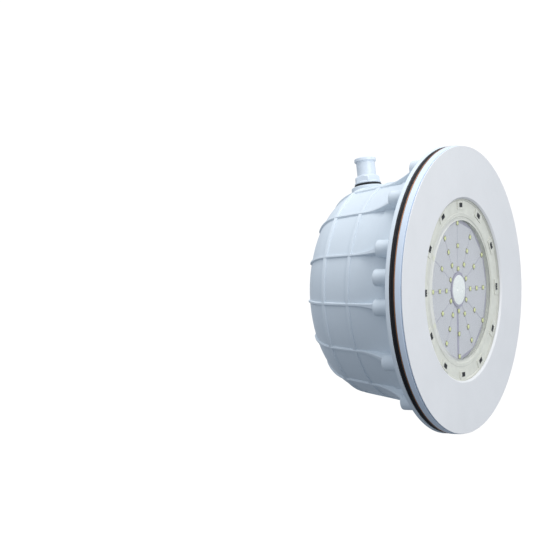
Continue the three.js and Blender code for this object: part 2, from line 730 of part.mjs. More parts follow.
function heatSpreader() {
  const disc = rod(throatRadius - FIT_GAP, spreaderFront, spreaderRear, LAMP_ROUND);
  const post = rod(DRIVER_POST_RADIUS, spreaderRear - EMBED, DRIVER_FACE - SEAT_GAP, BORE_ROUND);
  const peg = rod(DRIVER_PEG_RADIUS, spreaderRear, DRIVER_FACE + BOARD_THICKNESS, BORE_ROUND);
  const angles = turns(DRIVER_POSTS);
  const added = [...around(post, DRIVER_POST_CIRCLE, angles), ...around(peg, DRIVER_POST_CIRCLE, angles)];
  const stemHole = rod(CAP_STEM_RADIUS + FIT_GAP, spreaderFront - 1, spreaderRear + 1, BORE_ROUND);
  const leadHole = rod(LEAD_RADIUS + 1, spreaderFront - 1, spreaderRear + 1, BORE_ROUND);
  const removed = [stemHole, ...leadPoints.map((point) => placed(leadHole, point))];
  return piece("heat_spreader", shaped(disc, added, removed), materials.aluminium);
}

function driverBoard() {
  const rear = DRIVER_FACE + BOARD_THICKNESS;
  const disc = rod(DRIVER_RADIUS, DRIVER_FACE, rear, LAMP_ROUND);
  const pegHole = rod(DRIVER_PEG_RADIUS + FIT_GAP, DRIVER_FACE - 1, rear + 1, BORE_ROUND);
  const leadHole = rod(LEAD_RADIUS + FIT_GAP, DRIVER_FACE - 1, rear + 1, BORE_ROUND);
  const removed = [
    ...around(pegHole, DRIVER_POST_CIRCLE, turns(DRIVER_POSTS)),
    ...leadPoints.map((point) => placed(leadHole, point)),
  ];
  return piece("driver_board", shaped(disc, [], removed), materials.circuit);
}

function driverParts() {
  const seat = DRIVER_FACE + BOARD_THICKNESS + SEAT_GAP;
  const [length, height, depth] = CHOKE_SIZE;
  const core = block(length, depth, seat, seat + height);
  const winding = block(length * 0.6, depth + 4, seat + 2, seat + height - 2);
  const choke = shaped(core, [winding]).translate(-16, 0, -2);
  const can = rod(CAPACITOR_RADIUS, seat, seat + CAPACITOR_LENGTH, TUBE_ROUND).translate(18, 0, 4);
  return [
    piece("driver_choke", choke, materials.component),
    piece("driver_capacitor", can, materials.aluminium),
  ];
}

function boardLeads() {
  const lead = rod(LEAD_RADIUS, boardFront, DRIVER_FACE + BOARD_THICKNESS, BORE_ROUND);
  return [
    piece("board_lead_red", placed(lead, leadPoints[0]), materials.redLead),
    piece("board_lead_black", placed(lead, leadPoints[1]), materials.blackLead),
  ];
}

// ---------------------------------------------------------------- lamp cable gland
const glandFlange = LAMP_BACK + GLAND_WASHER[1] + 2 * SEAT_GAP;
const glandHexEnd = glandFlange + GLAND_HEX_HEIGHT;
const glandEnd = glandHexEnd + GLAND_THREAD_LENGTH;

function glandBody() {
  const start = LAMP_BACK - GLAND_STEM;
  const stem = rod(GLAND_THREAD_RADIUS, start, glandEnd, TUBE_ROUND);
  const hex = hexagon(GLAND_FLATS, glandFlange, glandHexEnd);
  const bore = rod(GLAND_BORE, start - 1, glandEnd + 1, TUBE_ROUND);
  const sealSeat = glandEnd - GLAND_SEAL_LENGTH + GLAND_SEAL_PROUD - SEAT_GAP;
  const seat = rod(GLAND_SEAL_RADIUS + FIT_GAP, sealSeat, glandEnd + 1, TUBE_ROUND);
  return piece("gland_body", shaped(stem, [hex], [bore, seat]), materials.component);
}

function glandWasher() {
  const [radius, thickness] = GLAND_WASHER;
  const from = LAMP_BACK + SEAT_GAP;
  const body = ring(GLAND_THREAD_RADIUS + FIT_GAP, radius, from, from + thickness, TUBE_ROUND);
  return piece("gland_washer", body, materials.rubber);
}

function glandSeal() {
  const end = glandEnd + GLAND_SEAL_PROUD;
  const body = ring(GLAND_BORE - 1, GLAND_SEAL_RADIUS, end - GLAND_SEAL_LENGTH, end, TUBE_ROUND);
  return piece("gland_seal", body, materials.rubber);
}

function glandNut() {
  const from = glandHexEnd + 2;
  const inside = glandEnd + GLAND_SEAL_PROUD + SEAT_GAP;
  const end = inside + GLAND_NUT_END;
  const hex = hexagon(GLAND_FLATS, from, end);
  const thread = rod(GLAND_THREAD_RADIUS + FIT_GAP, from - 1, inside, TUBE_ROUND);
  const mouth = rod(GLAND_BORE, inside - 1, end + 1, TUBE_ROUND);
  return piece("gland_nut", shaped(hex, [], [thread, mouth]), materials.component);
}

// ---------------------------------------------------------------- assembly
const light = new THREE.Group();
light.add(
  nicheHousing(),
  ...flangeStack(),
  ...clampScrews(),
  conduitSpigot(),
  spigotORing(),
  faceplate(),
  ...faceplatePins(),
  ...lampClips(),
  lampLens(),
  lensGasket(),
  ...rimClips(),
  lampBody(),
  ledBoard(),
  centreCap(),
  heatSpreader(),
  driverBoard(),
  ...driverParts(),
  ...boardLeads(),
  glandBody(),
  glandWasher(),
  glandSeal(),
  glandNut(),
);

export default light;
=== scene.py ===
"""Looks for the underwater pool light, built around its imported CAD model.

Shapes are written in millimetres in the part's own frame (lamp axis along Y, light shining along -Y)
and turned into metres when a mesh is made. Places come from the CAD nodes' boxes.
"""
import math

import bmesh
import bpy
from mathutils import Matrix, Vector


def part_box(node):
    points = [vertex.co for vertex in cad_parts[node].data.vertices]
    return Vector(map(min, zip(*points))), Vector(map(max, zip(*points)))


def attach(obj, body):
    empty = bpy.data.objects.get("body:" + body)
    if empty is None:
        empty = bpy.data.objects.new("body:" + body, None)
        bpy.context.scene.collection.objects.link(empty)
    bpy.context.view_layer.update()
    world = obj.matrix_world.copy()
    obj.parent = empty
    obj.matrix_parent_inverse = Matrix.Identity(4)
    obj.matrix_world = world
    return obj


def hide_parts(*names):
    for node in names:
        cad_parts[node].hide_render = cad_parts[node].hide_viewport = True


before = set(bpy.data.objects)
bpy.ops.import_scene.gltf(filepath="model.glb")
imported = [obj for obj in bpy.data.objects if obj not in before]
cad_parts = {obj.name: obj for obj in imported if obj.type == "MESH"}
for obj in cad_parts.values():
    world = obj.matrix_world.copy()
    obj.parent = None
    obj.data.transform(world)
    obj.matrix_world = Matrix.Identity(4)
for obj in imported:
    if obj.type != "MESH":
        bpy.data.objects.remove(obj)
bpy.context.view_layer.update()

MM = 0.001
FULL_TURN = 2 * math.pi


# ---------------------------------------------------------------- places taken from the CAD model
def span(node):
    """Lowest and highest corner of a CAD node, in millimetres."""
    low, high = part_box(node)
    return low / MM, high / MM


PLATE_LOW, PLATE_HIGH = span("faceplate")
HOUSING_LOW, HOUSING_HIGH = span("niche_housing")
LENS_LOW, LENS_HIGH = span("lamp_lens")
BODY_LOW, BODY_HIGH = span("lamp_body")
BOARD_LOW, BOARD_HIGH = span("led_board")

PLATE_RADIUS = PLATE_HIGH.z
PLATE_FRONT = PLATE_LOW.y
PLATE_SKIN = 2.4
FLANGE_RADIUS = HOUSING_HIGH.z
FLANGE_FRONT = HOUSING_LOW.y
HOUSING_BACK = HOUSING_HIGH.y
SCREWS = 14
BOSS_INSET = 16  # from the faceplate's edge to the circle of screw bosses
BOSS_CIRCLE = PLATE_RADIUS - BOSS_INSET
SCREW_HOLE = 2.2
PIN_HOLE = 3.1
SNAP_ANGLES = (-math.pi / 2, math.pi / 2)
SCREW_ANGLES = [i * FULL_TURN / SCREWS for i in range(SCREWS)]

CLIP_MIDDLE = sum(span("rim_clip_01"), Vector()) / 2
LAMP_TURN = math.atan2(CLIP_MIDDLE.x, CLIP_MIDDLE.z)

BOSS_LENGTH = 18
BOSS_RADIUS = 8.4
BOSS_CLEARANCE = 0.5
WALL_RADIUS = BOSS_CIRCLE - BOSS_RADIUS - BOSS_CLEARANCE
WALL_THICKNESS = 3
DRAFT = math.radians(10)
SHOULDER_RADIUS = 40
SHOULDER_TILT = math.radians(60)
BACK_CONE_DEPTH = 4  # from the shoulder's end to the flat rear face
COLLAR_HEIGHT = 1.5
COLLAR_END = 28
COLLAR_STEP = 0.4
RIB_HEIGHT = 1.7
RIB_WIDTH = 3
RING_SHARES = (0.501, 0.751)  # places of the ring ribs along the housing's depth
GUSSET_END = 50

SPIGOT_SETBACK = 22  # from the rear face to the spigot's axis
PAD_HEIGHT = 3.4
PAD_RADIUS = 17.4
O_RING_THICKNESS = 2.6
O_RING_GAP = 0.15
HEX_HEIGHT = 7.4
HEX_WIDTH = 23.4  # across flats
NECK_LENGTH = 14.8
LIP_LENGTH = 4.4

CLIP_CIRCLE = LENS_HIGH.z + 11
CLIP_ANGLES = [math.pi / 4 + k * math.pi / 2 for k in range(4)]
LENS_WINDOW_RADIUS = 70
RIM_CIRCLE = LENS_HIGH.z - 9.8
RIM_ANGLES = [LAMP_TURN + k * FULL_TURN / 12 for k in range(12)]
RIM_SLOT = (7, 4.6)
RIM_CLIP = (6.4, 4)

SPOKES = RIM_ANGLES
LED_SHARES = ((0.305, 0.635, 0.962), (0.41, 0.635, 0.865))  # of the board's radius, on every other spoke
LED_SIZE = 4.6
LED_RISE = 1.2
COPPER_RAISED = 0.12
COPPER_INNER = 18.2
COPPER_OUTER_SHARE = 0.985
SPOKE_GAP = 0.35
WIDE_SPOKE = 6  # the spoke with a wide strip beside it
WIDE_GAP = 4.5
CAP_FLANGE_PROUD = 0.95
CAP_DOME_SHARE = 0.212 / 0.245  # dome to base


def wall_radius(y):
    return WALL_RADIUS - math.tan(DRAFT) * y


# ---------------------------------------------------------------- outlines
def rounded(corners, steps=4):
    """Points of a closed outline from corners (x, y, fillet radius)."""
    points = []
    for i, (x, y, radius) in enumerate(corners):
        here = Vector((x, y))
        if radius == 0:
            points.append((x, y))
            continue
        to_last = Vector(corners[i - 1][:2]) - here
        to_next = Vector(corners[(i + 1) % len(corners)][:2]) - here
        half_angle = to_last.angle(to_next) / 2
        reach = min(radius / math.tan(half_angle), to_last.length * 0.49, to_next.length * 0.49)
        true_radius = reach * math.tan(half_angle)
        bisector = (to_last.normalized() + to_next.normalized()).normalized()
        centre = here + bisector * true_radius / math.sin(half_angle)
        first = here + to_last.normalized() * reach - centre
        last = here + to_next.normalized() * reach - centre
        sweep = math.pi - 2 * half_angle
        for k in range(steps + 1):
            start_share = math.sin(sweep * (1 - k / steps)) / math.sin(sweep)
            end_share = math.sin(sweep * k / steps) / math.sin(sweep)
            points.append(tuple(centre + first * start_share + last * end_share))
    return points


def arc(centre, radius, start, end, steps):
    """Points on a circle, with the angle measured from the first axis."""
    angles = [start + (end - start) * k / steps for k in range(steps + 1)]
    return [(centre[0] + radius * math.cos(a), centre[1] + radius * math.sin(a)) for a in angles]


# ---------------------------------------------------------------- meshes
def mesh_object(name, points, faces):
    """An object from points in millimetres, its faces turned outwards."""
    mesh = bpy.data.meshes.new(name)
    mesh.from_pydata([Vector(p) * MM for p in points], [], faces)
    work = bmesh.new()
    work.from_mesh(mesh)
    bmesh.ops.remove_doubles(work, verts=work.verts, dist=1e-7)
    bmesh.ops.recalc_face_normals(work, faces=work.faces)
    work.to_mesh(mesh)
    work.free()
    made = bpy.data.objects.new(name, mesh)
    bpy.context.scene.collection.objects.link(made)
    return made


def revolved(name, outline, sides=192):
    """A solid of revolution about Y. The outline of (radius, y) closes on itself or on the axis."""
    points, rings = [], []
    for radius, y in outline:
        if radius < 1e-6:
            rings.append([len(points)] * sides)
            points.append((0, y, 0))
            continue
        rings.append(list(range(len(points), len(points) + sides)))
        for k in range(sides):
            angle = k * FULL_TURN / sides
            points.append((radius * math.sin(angle), y, radius * math.cos(angle)))
    faces = []
    for a, b in zip(rings, rings[1:] + rings[:1]):
        for k in range(sides):
            n = (k + 1) % sides
            corners = list(dict.fromkeys((a[k], a[n], b[n], b[k])))
            if len(corners) > 2:
                faces.append(corners)
    return mesh_object(name, points, faces)


def plug(radius, low, high, sides=24):
    """A plain cylinder on the Y axis, to cut a hole with."""
    return revolved("plug", [(0, low), (radius, low), (radius, high), (0, high)], sides)


def prism(name, outline, low, high):
    """An outline of (x, z) pushed along Y."""
    count = len(outline)
    points = [(x, y, z) for y in (low, high) for x, z in outline]
    sides = [(i, (i + 1) % count, (i + 1) % count + count, i + count) for i in range(count)]
    return mesh_object(name, points, [*sides, range(count), range(count, 2 * count)])


def moved(piece, matrix):
    piece.data.transform(matrix)
    return piece


def turned(piece, angle):
    """Turns a piece made towards +Z about Y, towards +X."""
    return moved(piece, Matrix.Rotation(angle, 4, "Y"))


def copy_of(piece, name):
    twin = bpy.data.objects.new(name, piece.data.copy())
    bpy.context.scene.collection.objects.link(twin)
    return twin


def around(piece, radius, angles):
    """Copies of a piece on a circle about Y; the first piece is used up."""
    twins = []
    for i, angle in enumerate(angles):
        twin = moved(copy_of(piece, f"{piece.name}_{i}"), Matrix.Translation((0, 0, radius * MM)))
        twins.append(turned(twin, angle))
    bpy.data.objects.remove(piece)
    return twins


def flange_holes(low, high, sides=24):
    """Plugs for the clamp screws and the push-in pins, from one height to another."""
    screw_plug = plug(SCREW_HOLE, low, high, sides)
    pin_plug = plug(PIN_HOLE, low, high, sides)
    return [*around(screw_plug, BOSS_CIRCLE, SCREW_ANGLES), *around(pin_plug, BOSS_CIRCLE, SNAP_ANGLES)]


def carve(piece, tools, operation="UNION"):
    """Joins tools to a piece, or cuts them out of it, and uses them up."""
    for tool in tools:
        step = piece.modifiers.new(operation, "BOOLEAN")
        step.operation = operation
        step.solver = "MANIFOLD"
        step.object = tool
    graph = bpy.context.evaluated_depsgraph_get()
    result = bpy.data.meshes.new_from_object(piece.evaluated_get(graph))
    piece.modifiers.clear()
    piece.data = result
    for tool in tools:
        bpy.data.objects.remove(tool)
    return piece


def joined(name, pieces):
    """Several separate shells as one object."""
    work = bmesh.new()
    for piece in pieces:
        work.from_mesh(piece.data)
        bpy.data.objects.remove(piece)
    mesh = bpy.data.meshes.new(name)
    work.to_mesh(mesh)
    work.free()
    made = bpy.data.objects.new(name, mesh)
    bpy.context.scene.collection.objects.link(made)
    return made


def shade(piece, sharp_degrees=32):
    for face in piece.data.polygons:
        face.use_smooth = True
    piece.data.set_sharp_from_angle(angle=math.radians(sharp_degrees))
    weighted = piece.modifiers.new("weighted", "WEIGHTED_NORMAL")
    weighted.keep_sharp = True


def put(piece, body, slot, material, *nodes):
    """Gives a finished piece its material, its body and the CAD nodes that it stands for."""
    shade(piece)
    piece.data.materials.clear()
    piece.data.materials.append(material)
    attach(piece, body)
    if nodes:
        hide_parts(*nodes)
    return piece


def repaint(piece, material, chosen):
    """Gives a second material to the faces that are chosen by the radius and y of their middles."""
    piece.data.materials.append(material)
    for face in piece.data.polygons:
        radius = math.hypot(face.center.x, face.center.z)
        if chosen(radius / MM, face.center.y / MM):
            face.material_index = 1


# ---------------------------------------------------------------- materials
def linear(red, green, blue):
    """A screen colour of 0 to 255 as linear light."""
    def channel(value):
        share = value / 255
        return share / 12.92 if share <= 0.04045 else ((share + 0.055) / 1.055) ** 2.4

    return (channel(red), channel(green), channel(blue), 1)


class Surface:
    """A Principled material with helpers for procedural detail in object space."""

    def __init__(self, name, colour, roughness, **sockets):
        self.material = bpy.data.materials.new(name)
        self.material.use_nodes = True
        self.tree = self.material.node_tree
        self.shader = self.tree.nodes["Principled BSDF"]
        self.colour = linear(*colour)
        self.shader.inputs["Base Color"].default_value = self.colour
        self.shader.inputs["Roughness"].default_value = roughness
        for socket, value in sockets.items():
            self.shader.inputs[socket.replace("_", " ")].default_value = value
        self.roughness = roughness
        self.place = self.tree.nodes.new("ShaderNodeTexCoord").outputs["Object"]

    def link(self, source, target):
        self.tree.links.new(source, target)

    def noise(self, per_metre, detail=4, roughness=0.55):
        node = self.tree.nodes.new("ShaderNodeTexNoise")
        node.inputs["Scale"].default_value = per_metre
        node.inputs["Detail"].default_value = detail
        node.inputs["Roughness"].default_value = roughness
        self.link(self.place, node.inputs["Vector"])
        return node.outputs["Fac"]

    def ranged(self, value, low, high, from_low=0.3, from_high=0.7):
        node = self.tree.nodes.new("ShaderNodeMapRange")
        self.link(value, node.inputs["Value"])
        for socket, number in (
            ("From Min", from_low),
            ("From Max", from_high),
            ("To Min", low),
            ("To Max", high),
        ):
            node.inputs[socket].default_value = number
        return node.outputs["Result"]

    def vary_colour(self, value, amount):
        """Darkens and lightens the colour a little."""
        node = self.tree.nodes.new("ShaderNodeMix")
        node.data_type = "RGBA"
        dark = [c * (1 - amount) for c in self.colour[:3]]
        light = [min(1, c * (1 + amount)) for c in self.colour[:3]]
        node.inputs["A"].default_value = (*dark, 1)
        node.inputs["B"].default_value = (*light, 1)
        self.link(self.ranged(value, 0, 1), node.inputs["Factor"])
        self.link(node.outputs["Result"], self.shader.inputs["Base Color"])
        return self

    def vary_roughness(self, value, amount):
        spread = self.ranged(value, self.roughness - amount, self.roughness + amount)
        self.link(spread, self.shader.inputs["Roughness"])
        return self

    def bump(self, value, height_mm, strength=1.0):
        node = self.tree.nodes.new("ShaderNodeBump")
        node.inputs["Distance"].default_value = height_mm * MM
        node.inputs["Strength"].default_value = strength
        self.link(value, node.inputs["Height"])
        last = self.shader.inputs["Normal"]
        if last.links:
            self.link(last.links[0].from_socket, node.inputs["Normal"])
        self.link(node.outputs["Normal"], last)
        return self


def moulded(name, colour, roughness, grain_mm=0.02, mottling=0.02, **sockets):
    """Moulded plastic: a fine spark-eroded grain, slow flow marks and slightly uneven gloss."""
    surface = Surface(name, colour, roughness, **sockets)
    surface.vary_colour(surface.noise(28, 3), mottling)
    surface.vary_roughness(surface.noise(90, 3), 0.05)
    surface.bump(surface.noise(1600, 3), grain_mm)
    surface.bump(surface.noise(55, 2), grain_mm * 4, 0.35)
    return surface.material


def rubber(name, colour, roughness=0.62):
    surface = Surface(name, colour, roughness)
    surface.vary_colour(surface.noise(140, 4), 0.25)
    surface.vary_roughness(surface.noise(300, 4), 0.1)
    surface.bump(surface.noise(2400, 4), 0.03)
    return surface.material


def metal(name, colour, roughness, scratch=900):
    surface = Surface(name, colour, roughness, Metallic=1.0)
    surface.vary_colour(surface.noise(120, 4), 0.08)
    surface.vary_roughness(surface.noise(scratch, 5, 0.7), 0.09)
    surface.bump(surface.noise(scratch * 2, 3), 0.01)
    return surface.material


def clear_plastic(name, colour, facing_alpha, edge_alpha):
    """Clear polycarbonate: mostly see-through face on, milkier and glossier at a glancing angle."""
    surface = Surface(name, colour, 0.08)
    weight = surface.tree.nodes.new("ShaderNodeLayerWeight")
    weight.inputs["Blend"].default_value = 0.35
    alpha = surface.ranged(weight.outputs["Facing"], facing_alpha, edge_alpha, 0.0, 1.0)
    surface.link(alpha, surface.shader.inputs["Alpha"])
    surface.vary_colour(surface.noise(130, 3), 0.05)
    surface.vary_roughness(surface.noise(60, 3), 0.03)
    surface.bump(surface.noise(45, 2), 0.05, 0.3)
    return surface.material


WHITE_PLASTIC = moulded("faceplate_gloss", (235, 235, 235), 0.34)
# Painted shade: the faceplate's side wall is the same plastic as its face, given a bluer, slightly darker
# white.
SKIRT_PAINTED_SHADE = moulded("faceplate_skirt_painted_shade", (218, 229, 242), 0.34)
HOUSING_PLASTIC = moulded("housing_satin", (220, 229, 236), 0.5, 0.03)
FITTING_PLASTIC = moulded("fitting_gloss", (224, 232, 240), 0.3)
LAMP_PLASTIC = moulded("lamp_white", (226, 230, 226), 0.35)
PIN_PLASTIC = moulded("pin_nylon", (222, 222, 216), 0.4)
BLACK_PLASTIC = moulded("black_nylon", (30, 31, 34), 0.45)
BLACK_RUBBER = rubber("black_rubber", (10, 11, 18))
SILICONE = rubber("white_silicone", (214, 214, 208), 0.5)
BRONZE = metal("dull_bronze", (190, 138, 104), 0.45)
STEEL = metal("stainless", (196, 198, 200), 0.26)
# Painted shade: a dark steel for the rim clips, standing for the shadow in the lens's snap slots.
PAINTED_SHADE_STEEL = metal("spring_steel_painted_shade", (92, 93, 94), 0.4)
ALUMINIUM = metal("satin_aluminium", (205, 208, 211), 0.36)
LENS_WINDOW = clear_plastic("clear_window", (236, 244, 240), 0.02, 0.18)
LENS_RIM = clear_plastic("milky_rim", (250, 250, 238), 0.5, 0.85)
BOARD_MASK = moulded("solder_mask_grey", (166, 162, 180), 0.4, 0.01)
BOARD_COPPER = moulded("solder_mask_over_copper", (209, 208, 212), 0.32, 0.01)
# Painted shade: a dark olive for the LED packages, standing for the shadow around each LED on its white
# base.
LED_FRAME_PAINTED_SHADE = moulded("led_painted_shade_frame", (150, 148, 120), 0.45, 0.005)
LED_PHOSPHOR = moulded("led_phosphor", (238, 244, 160), 0.3, 0.01, 0.06)
FROSTED = moulded("frosted_white", (250, 252, 248), 0.5, 0.02)
CIRCUIT = moulded("green_circuit", (44, 104, 66), 0.4, 0.01)
RED_LEAD = moulded("red_lead", (168, 44, 36), 0.45)
BLACK_LEAD = moulded("black_lead", (28, 28, 30), 0.45)


# ---------------------------------------------------------------- niche housing
def wall_profile(offset, first_y, steps):
    """The housing wall from a plane back to its flat rear face, moved outwards by an offset."""
    centre_y = HOUSING_BACK - BACK_CONE_DEPTH - SHOULDER_RADIUS * math.sin(SHOULDER_TILT)
    tangent_y = centre_y + SHOULDER_RADIUS * math.sin(DRAFT)
    centre_r = wall_radius(tangent_y) - SHOULDER_RADIUS * math.cos(DRAFT)
    corner = arc((centre_r, centre_y), SHOULDER_RADIUS + offset, DRAFT, SHOULDER_TILT, steps)
    return [(wall_radius(first_y) + offset, first_y), *corner]


def back_edge(offset, y):
    last_r, last_y = wall_profile(offset, 0, 1)[-1]
    return (last_r - (y - last_y) * math.tan(SHOULDER_TILT), y)


def rib_section(width, height, crown):
    """Half a rib's section as (half width, height) pairs, with draft and a rounded crown."""
    return [(width / 2 + 0.25, -1), (width / 2, 0), (width / 2 - 0.15, height - crown),
            (width / 2 - crown, height)]


def brace_rib(name):
    """A longitudinal rib that widens and rises at its front end into a screw boss."""
    spine = wall_profile(0, GUSSET_END, 16)
    flare_steps = 14
    flare_start = BOSS_LENGTH - 1
    rise = BOSS_CIRCLE - wall_radius(flare_start) - RIB_HEIGHT
    wall_path = [(wall_radius(3), 3, rise, 7.4)]
    for k in range(flare_steps):
        share = k / flare_steps
        y = flare_start + (GUSSET_END - flare_start) * share
        height = RIB_HEIGHT + rise * (1 - share) ** 1.8
        wall_path.append((wall_radius(y), y, height, RIB_WIDTH + 4.4 * (1 - share) ** 2.2))
    wall_path += [(r, y, RIB_HEIGHT, RIB_WIDTH) for r, y in spine]
    last_r, last_y, _, _ = wall_path[-1]
    wall_path.append((last_r - 3.4, last_y + 1.4, 0.6, 2.4))
    points, rows = [], []
    for i, (r, y, height, width) in enumerate(wall_path):
        after = wall_path[min(i + 1, len(wall_path) - 1)]
        before = wall_path[max(i - 1, 0)]
        along = Vector((after[0] - before[0], after[1] - before[1])).normalized()
        out = Vector((along.y, -along.x)) if i > flare_steps else Vector((1, 0))
        half = rib_section(width, height, 0.7)
        section = [(-w, h) for w, h in half] + [(w, h) for w, h in reversed(half)]
        rows.append(range(len(points), len(points) + len(section)))
        for side, lift in section:
            points.append((side, y + out.y * lift, r + out.x * lift))
    faces = [tuple(rows[0]), tuple(rows[-1])]
    for a, b in zip(rows, rows[1:]):
        faces += [(a[k], a[(k + 1) % len(a)], b[(k + 1) % len(a)], b[k]) for k in range(len(a))]
    return mesh_object(name, points, faces)


def ring_rib(y):
    outline = rounded([
        (wall_radius(y) - 1, y - 2.6, 0),
        (wall_radius(y) + 1.4, y - 1.6, 0.9),
        (wall_radius(y) + 1.1, y + 1.6, 0.9),
        (wall_radius(y) - 1, y + 2.6, 0),
    ])
    return revolved("ring_rib", outline, 224)


def on_spigot_axis(piece):
    """Turns a piece made along +Y onto the conduit spigot's axis."""
    y = HOUSING_BACK - SPIGOT_SETBACK
    tilt = Matrix.Rotation(math.pi / 2 - DRAFT, 4, "X")
    return moved(piece, Matrix.Translation(Vector((0, y, wall_radius(y))) * MM) @ tilt)


def niche_housing():
    inner = wall_profile(-WALL_THICKNESS, 0, 16)
    collar_foot = COLLAR_END + COLLAR_STEP
    outer = wall_profile(0, collar_foot, 24)
    mouth = WALL_RADIUS - WALL_THICKNESS
    shell_outline = [
        (0, HOUSING_BACK - WALL_THICKNESS),
        back_edge(-WALL_THICKNESS, HOUSING_BACK - WALL_THICKNESS),
        *reversed(inner),
        *rounded([
            (mouth, -0.5, 0),
            (mouth, FLANGE_FRONT, 0.8),
            (FLANGE_RADIUS, FLANGE_FRONT, 0.5),
            (FLANGE_RADIUS, 0, 0.6),
            (wall_radius(0) + COLLAR_HEIGHT, 0, 1.5),
            (wall_radius(COLLAR_END) + COLLAR_HEIGHT, COLLAR_END, 0.5),
            (wall_radius(collar_foot), collar_foot, 0),
        ]),
        *outer[1:],
        back_edge(0, HOUSING_BACK),
        (0, HOUSING_BACK),
    ]
    shell = revolved("niche_shell", shell_outline, 224)
    boss_outline = rounded([
        (0, -1, 0),
        (BOSS_RADIUS + 1.6, -1, 0),
        (BOSS_RADIUS + 1.6, 0.05, 0.2),
        (BOSS_RADIUS, 0.1, 1.6),
        (BOSS_RADIUS - 0.15, BOSS_LENGTH, 2.2),
        (0, BOSS_LENGTH, 0),
    ])
    boss = revolved("boss", boss_outline, 48)
    pad_outline = rounded([
        (0, -12, 0),
        (PAD_RADIUS, -12, 0),
        (PAD_RADIUS - 0.7, PAD_HEIGHT, 1.1),
        (0, PAD_HEIGHT, 0),
    ])
    pad = on_spigot_axis(revolved("pad", pad_outline, 96))
    rib = brace_rib("brace_rib")
    ribs = [turned(copy_of(rib, f"rib_{i}"), angle) for i, angle in enumerate(SCREW_ANGLES)]
    bpy.data.objects.remove(rib)
    rings = [ring_rib(HOUSING_BACK * share) for share in RING_SHARES]
    bosses = around(boss, BOSS_CIRCLE, [*SCREW_ANGLES, *SNAP_ANGLES])
    carve(shell, [*bosses, *ribs, *rings, pad])
    bore = on_spigot_axis(plug(8.9, -30, 9, 64))
    carve(shell, [*flange_holes(-6, 12, 32), bore], "DIFFERENCE")
    shell.name = "niche_housing_moulding"
    put(shell, "niche", "housing_plastic", HOUSING_PLASTIC, "niche_housing")


# ---------------------------------------------------------------- flange stack
def stack_ring(name, node, corner, body, slot, material):
    low, high = span(node)
    inner = WALL_RADIUS - 1
    outline = rounded([
        (inner, low.y, 0.2),
        (high.z, low.y, corner),
        (high.z, high.y, corner),
        (inner, high.y, 0.2),
    ])
    ring = revolved(name, outline, 224)
    carve(ring, flange_holes(low.y - 1, high.y + 1), "DIFFERENCE")
    put(ring, body, slot, material, node)


def clamp_screws():
    """Pan-head screws with a cross recess."""
    low, high = span("clamp_screw_01")
    under_head = low.y + 2.4
    outline = [
        *arc((0, under_head + 2.2), 4.6, -math.pi / 2, -math.radians(38), 8),
        (4.2, under_head - 0.7),
        (4.2, under_head),
        (1.9, under_head),
        (1.9, high.y - 0.8),
        (1.2, high.y),
        (0, high.y),
    ]
    screw = revolved("screw", outline, 40)
    bar = [(-2.6, -0.45), (2.6, -0.45), (2.6, 0.45), (-2.6, 0.45)]
    bars = [turned(prism("cross", bar, low.y - 1, low.y + 1.3), turn) for turn in (0, math.pi / 2)]
    carve(screw, bars, "DIFFERENCE")
    for i, angle in enumerate(SCREW_ANGLES):
        node = f"clamp_screw_{i + 1:02d}"
        twin = moved(copy_of(screw, f"{node}_pan_head"), Matrix.Translation((0, 0, BOSS_CIRCLE * MM)))
        put(turned(twin, angle), "niche", "steel", STEEL, node)
    bpy.data.objects.remove(screw)


# ---------------------------------------------------------------- conduit spigot
def conduit_spigot():
    seat = PAD_HEIGHT + O_RING_THICKNESS + 2 * O_RING_GAP
    hex_top = seat + HEX_HEIGHT
    neck_top = hex_top + NECK_LENGTH
    top = neck_top + LIP_LENGTH
    bore = 6.6
    tube = revolved("tube", rounded([
        (bore, -9.6, 0.3),
        (8.6, -9.6, 0.5),
        (8.6, seat, 0),
        (13.1, seat, 0.4),
        (13.1, seat + 1.4, 0.5),
        (11.6, seat + 2.4, 0.5),
        (9.9, hex_top + 0.4, 0.4),
        (9.5, hex_top + 1.6, 0.8),
        (9.35, neck_top, 0.6),
        (10.8, neck_top + 0.9, 0.7),
        (10.8, top, 1.2),
        (bore, top, 0.6),
    ]), 96)
    corner = HEX_WIDTH / math.sqrt(3)
    hexagon = [(corner * math.sin(k * math.pi / 3), corner * math.cos(k * math.pi / 3)) for k in range(6)]
    hexagon = rounded([(x, z, 1) for x, z in hexagon], 3)
    body = prism("hex", hexagon, seat + 0.9, hex_top)
    chamfer_outline = [(0, seat), (13.6, seat), (12.9, hex_top - 1.3), (11.6, hex_top), (0, hex_top)]
    carve(body, [revolved("chamfer", chamfer_outline, 64)], "INTERSECT")
    carve(body, [plug(9, seat - 1, hex_top + 1, 64)], "DIFFERENCE")
    carve(tube, [body])
    tube.name = "conduit_spigot_moulding"
    put(on_spigot_axis(tube), "spigot", "fitting_plastic", FITTING_PLASTIC, "conduit_spigot")
    ring_low = PAD_HEIGHT + O_RING_GAP
    ring_high = ring_low + O_RING_THICKNESS
    ring = revolved("spigot_o_ring_rubber", rounded([
        (8.9, ring_low, 0.5),
        (13.6, ring_low, 1.1),
        (13.6, ring_high, 1.1),
        (8.9, ring_high, 0.5),
    ]), 96)
    put(on_spigot_axis(ring), "spigot_seal", "rubber", BLACK_RUBBER, "spigot_o_ring")


# ---------------------------------------------------------------- faceplate
def pin_post(start, end):
    """A round post with a wider foot, standing on the back of the faceplate."""
    return revolved("post", rounded([
        (0, start - 1, 0),
        (6, start - 1, 0),
        (6, start, 0),
        (5, start + 0.8, 0.6),
        (5, end, 0.5),
        (0, end, 0),
    ]), 40)


